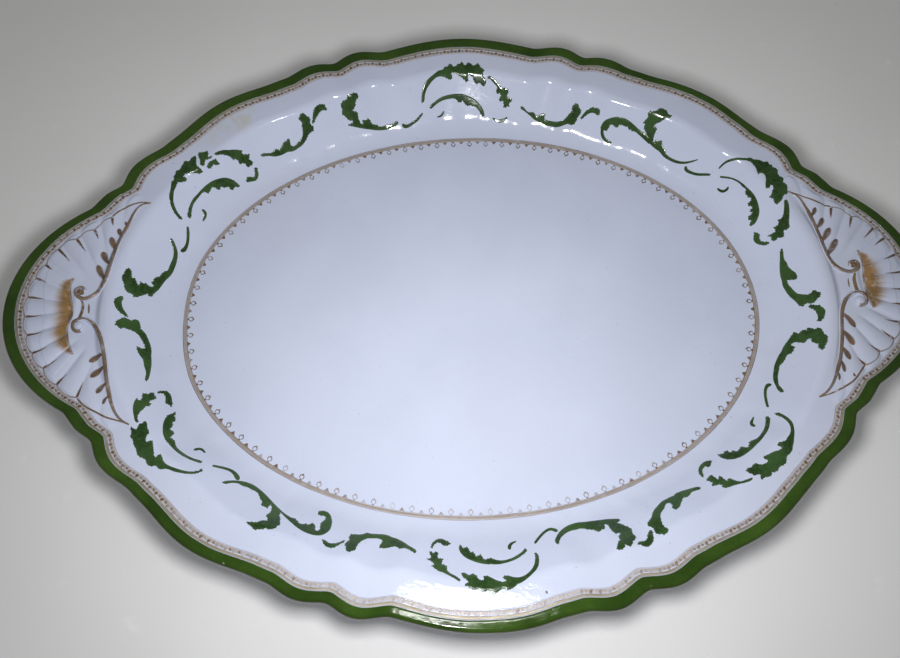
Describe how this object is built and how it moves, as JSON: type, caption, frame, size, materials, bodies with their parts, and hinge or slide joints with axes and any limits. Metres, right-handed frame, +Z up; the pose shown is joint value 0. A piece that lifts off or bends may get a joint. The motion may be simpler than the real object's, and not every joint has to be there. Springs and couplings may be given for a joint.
{
  "type": "oval serving platter",
  "caption": "Oval glazed ceramic platter with a flat well, steep cove, lobed flange with a green and gilt edge, a printed leaf border and a fluted shell handle at each end.",
  "frame": {"origin": "centre of the oval, on the plane of the foot ring's lower face", "axes": "+X along the length to the right shell handle, +Y to the far long side, +Z up"},
  "size_m": [0.4222, 0.288, 0.0308],
  "materials": {
    "white_glaze": "white gloss glaze",
    "foot_clay": "glazed sides, ground bare underneath",
    "green_enamel": "glossy overglaze enamel",
    "leaf_print": "glossy printed enamel",
    "gilding": "worn burnished gilding"
  },
  "bodies": {
    "root": {"dish_body": "white_glaze", "foot_ring": "foot_clay", "left_shell_handle": "white_glaze", "right_shell_handle": "white_glaze", "left_scroll_moulding": "white_glaze", "right_scroll_moulding": "white_glaze", "green_edge_band": "green_enamel", "gilt_edge_lace": "gilding", "gilt_well_line": "gilding", "gilt_well_loops": "gilding", "leaf_print_top": "leaf_print", "leaf_print_upper_right": "leaf_print", "leaf_print_lower_right": "leaf_print", "leaf_print_bottom": "leaf_print", "leaf_print_lower_left": "leaf_print", "leaf_print_upper_left": "leaf_print", "left_shell_gilding": "gilding", "right_shell_gilding": "gilding"}
  },
  "joints": []
}
